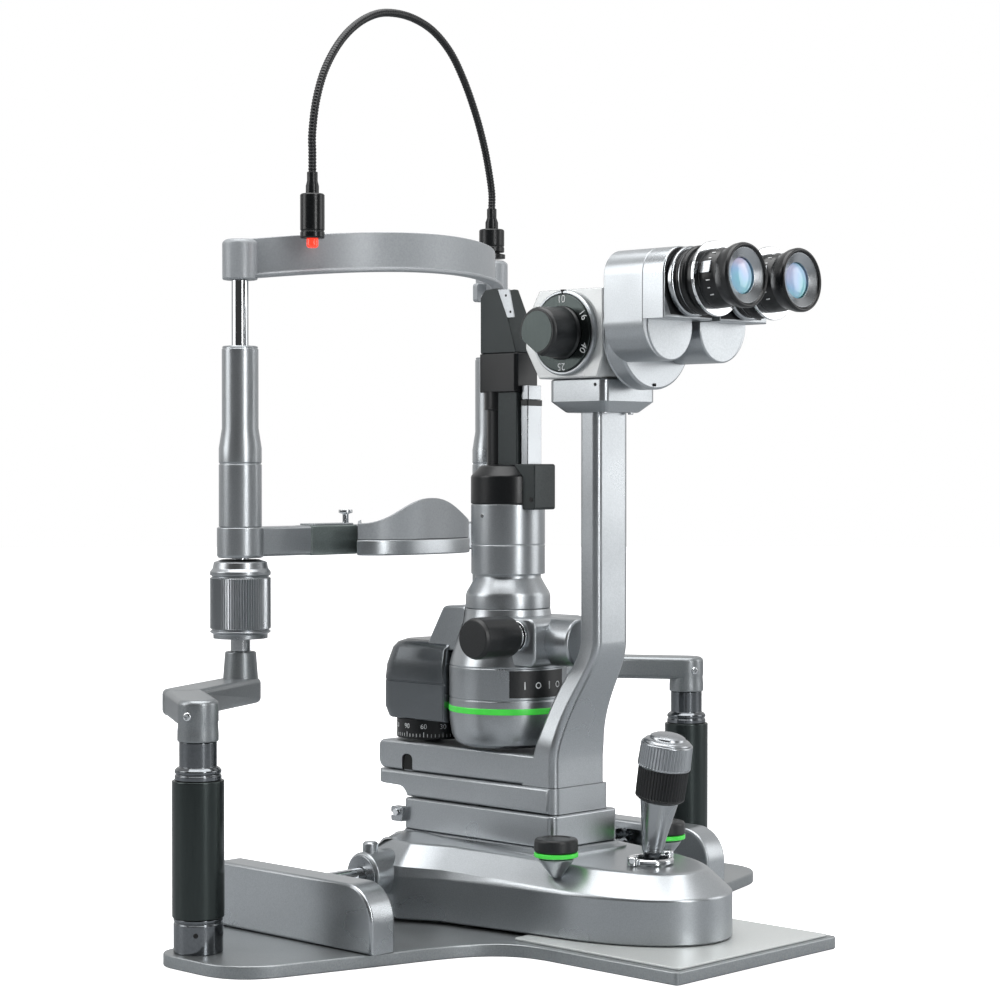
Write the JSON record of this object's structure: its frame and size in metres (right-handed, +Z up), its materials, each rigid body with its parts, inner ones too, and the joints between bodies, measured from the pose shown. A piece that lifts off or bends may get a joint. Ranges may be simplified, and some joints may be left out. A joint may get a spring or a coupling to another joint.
{
  "type": "slit lamp",
  "caption": "Eye-examination slit lamp: binocular microscope and lamp tower swinging on one axis, on a joystick base that slides under a chin rest and forehead band.",
  "frame": {"origin": "underside of the base plate, midway between the two posts, on the line through both posts", "axes": "+Z up, +X to the operator's right, +Y away from the operator towards the patient, so the eyepieces and joystick are at -Y"},
  "size_m": [0.6, 0.4469, 0.7369],
  "materials": {
    "silver_paint": "satin silver enamel on cast and milled aluminium",
    "white_paint": "near-white satin paint",
    "grey_paint": "mid-grey fine-textured paint",
    "polished_chrome": "polished",
    "dark_anodised": "dark green-grey anodised",
    "machined_steel": "machined",
    "grey_plastic": "light grey moulded",
    "black_metal": "black satin",
    "black_plastic": "black moulded"
  },
  "bodies": {
    "stand": {"base_plate": "silver_paint", "slide_pad": "white_paint", "rail_cover_left": "silver_paint", "rail_cover_right": "silver_paint", "rack_left": "machined_steel", "rack_right": "machined_steel", "post_foot_left": "polished_chrome", "post_foot_right": "polished_chrome", "post_sleeve_left": "dark_anodised", "post_sleeve_right": "dark_anodised", "post_tube_left": "polished_chrome", "post_tube_right": "polished_chrome", "crank_left": "grey_paint", "crank_right": "grey_paint", "upright_rod_left": "polished_chrome", "upright_rod_right": "polished_chrome", "height_spacer": "silver_paint", "forehead_band": "grey_plastic"},
    "fixation_light": {"fixation_swivel": "black_metal", "fixation_gooseneck": "black_metal", "fixation_lamp": "black_metal"},
    "chin_rest": {"chin_crossbar": "silver_paint", "chin_sleeve_left": "silver_paint", "chin_sleeve_right": "silver_paint", "chin_support": "silver_paint", "chin_cup": "grey_plastic"},
    "chin_knob": {"chin_height_knob": "machined_steel"},
    "carriage": {"cross_tube": "polished_chrome"},
    "axle": {"cross_axle": "machined_steel", "wheel_left": "machined_steel", "wheel_right": "machined_steel"},
    "base": {"base_casting": "silver_paint", "joystick_seat": "polished_chrome", "column_foot": "silver_paint"},
    "lock_left": {"lock_knob_left": "black_plastic"},
    "lock_right": {"lock_knob_right": "black_plastic"},
    "joystick_gimbal": {"joystick_ball": "machined_steel"},
    "joystick_lever": {"joystick_stem": "polished_chrome"},
    "joystick_sleeve": {"joystick_grip": "black_plastic"},
    "lift": {"lift_spindle": "polished_chrome", "lift_block": "silver_paint", "swing_axle": "machined_steel"},
    "microscope": {"microscope_arm": "silver_paint", "head_shelf": "silver_paint", "optic_body": "white_paint", "objective_cell": "black_metal"},
    "changer": {"changer_knob": "black_plastic"},
    "prism_left": {"prism_housing_left": "silver_paint"},
    "prism_right": {"prism_housing_right": "silver_paint"},
    "eyepiece_left": {"eyepiece_left": "black_metal"},
    "eyepiece_right": {"eyepiece_right": "black_metal"},
    "illumination": {"lamp_housing": "silver_paint", "angle_ring": "black_metal", "lamp_drum": "silver_paint", "slit_arm": "silver_paint", "slit_barrel": "silver_paint", "lamp_column": "black_metal", "rear_bar": "machined_steel", "mirror_head": "black_metal"},
    "slit_control": {"slit_knob": "black_plastic"}
  },
  "joints": [
    {"name": "fixation_swing", "type": "hinge", "parent": "stand", "child": "fixation_light", "pos_m": [0.143, 0.111, 0.545], "axis": [0, 0, 1], "range_deg": [0, 15]},
    {"name": "chin_height", "type": "slide", "parent": "stand", "child": "chin_rest", "axis": [0, 0, 1], "range_m": [0, 0.048]},
    {"name": "chin_knob_turn", "type": "hinge", "parent": "stand", "child": "chin_knob", "pos_m": [-0.143, 0.111, 0.25], "axis": [0, 0, 1], "range_deg": [0, 720]},
    {"name": "cross_slide", "type": "slide", "parent": "stand", "child": "carriage", "axis": [0, 1, 0], "range_m": [-0.04, 0.03]},
    {"name": "axle_roll", "type": "hinge", "parent": "carriage", "child": "axle", "pos_m": [0, 0, 0.045], "axis": [1, 0, 0], "range_deg": [-200, 260]},
    {"name": "side_slide", "type": "slide", "parent": "carriage", "child": "base", "axis": [1, 0, 0], "range_m": [-0.045, 0.045]},
    {"name": "lock_left_turn", "type": "hinge", "parent": "base", "child": "lock_left", "pos_m": [-0.062, -0.155, 0.07], "axis": [0, 0, 1], "range_deg": [0, 90]},
    {"name": "lock_right_turn", "type": "hinge", "parent": "base", "child": "lock_right", "pos_m": [0.062, -0.155, 0.07], "axis": [0, 0, 1], "range_deg": [0, 90]},
    {"name": "joystick_tilt", "type": "hinge", "parent": "base", "child": "joystick_gimbal", "pos_m": [0, -0.19, 0.04], "axis": [1, 0, 0], "range_deg": [-10, 7]},
    {"name": "joystick_lean", "type": "hinge", "parent": "joystick_gimbal", "child": "joystick_lever", "pos_m": [0, -0.19, 0.04], "axis": [0, 0.9848, 0.1736], "range_deg": [-7, 7]},
    {"name": "joystick_turn", "type": "hinge", "parent": "joystick_lever", "child": "joystick_sleeve", "pos_m": [0, -0.19, 0.04], "axis": [0, -0.1736, 0.9848], "range_deg": [0, 720]},
    {"name": "lift_slide", "type": "slide", "parent": "base", "child": "lift", "axis": [0, 0, 1], "range_m": [0, 0.028]},
    {"name": "microscope_swing", "type": "hinge", "parent": "lift", "child": "microscope", "pos_m": [0, 0.038, 0.2], "axis": [0, 0, 1], "range_deg": [-50, 50]},
    {"name": "changer_turn", "type": "hinge", "parent": "microscope", "child": "changer", "pos_m": [-0.035, -0.14, 0.461], "axis": [1, 0, 0], "range_deg": [-180, 180]},
    {"name": "prism_left_swing", "type": "hinge", "parent": "microscope", "child": "prism_left", "pos_m": [-0.0296, -0.2, 0.463], "axis": [0, 1, 0], "range_deg": [-12, 6]},
    {"name": "prism_right_swing", "type": "hinge", "parent": "microscope", "child": "prism_right", "pos_m": [0.0296, -0.2, 0.463], "axis": [0, 1, 0], "range_deg": [-6, 12]},
    {"name": "eyepiece_left_focus", "type": "hinge", "parent": "prism_left", "child": "eyepiece_left", "pos_m": [-0.032, -0.257, 0.4935], "axis": [0, -0.999, 0.0436], "range_deg": [-60, 60]},
    {"name": "eyepiece_right_focus", "type": "hinge", "parent": "prism_right", "child": "eyepiece_right", "pos_m": [0.032, -0.257, 0.4935], "axis": [0, -0.999, 0.0436], "range_deg": [-60, 60]},
    {"name": "illumination_swing", "type": "hinge", "parent": "lift", "child": "illumination", "pos_m": [0, 0.038, 0.2], "axis": [0, 0, 1], "range_deg": [-50, 50]},
    {"name": "slit_width_turn", "type": "hinge", "parent": "illumination", "child": "slit_control", "pos_m": [-0.03, -0.084, 0.23], "axis": [1, 0, 0], "range_deg": [0, 300]}
  ],
  "couplings": [
    {"joint": "chin_knob_turn", "follows": "chin_height", "rad_per_m": 261.79},
    {"joint": "axle_roll", "follows": "cross_slide", "rad_per_m": -111.11},
    {"joint": "joystick_turn", "follows": "lift_slide", "rad_per_m": 448.79},
    {"joint": "prism_right_swing", "follows": "prism_left_swing", "ratio": -1}
  ]
}
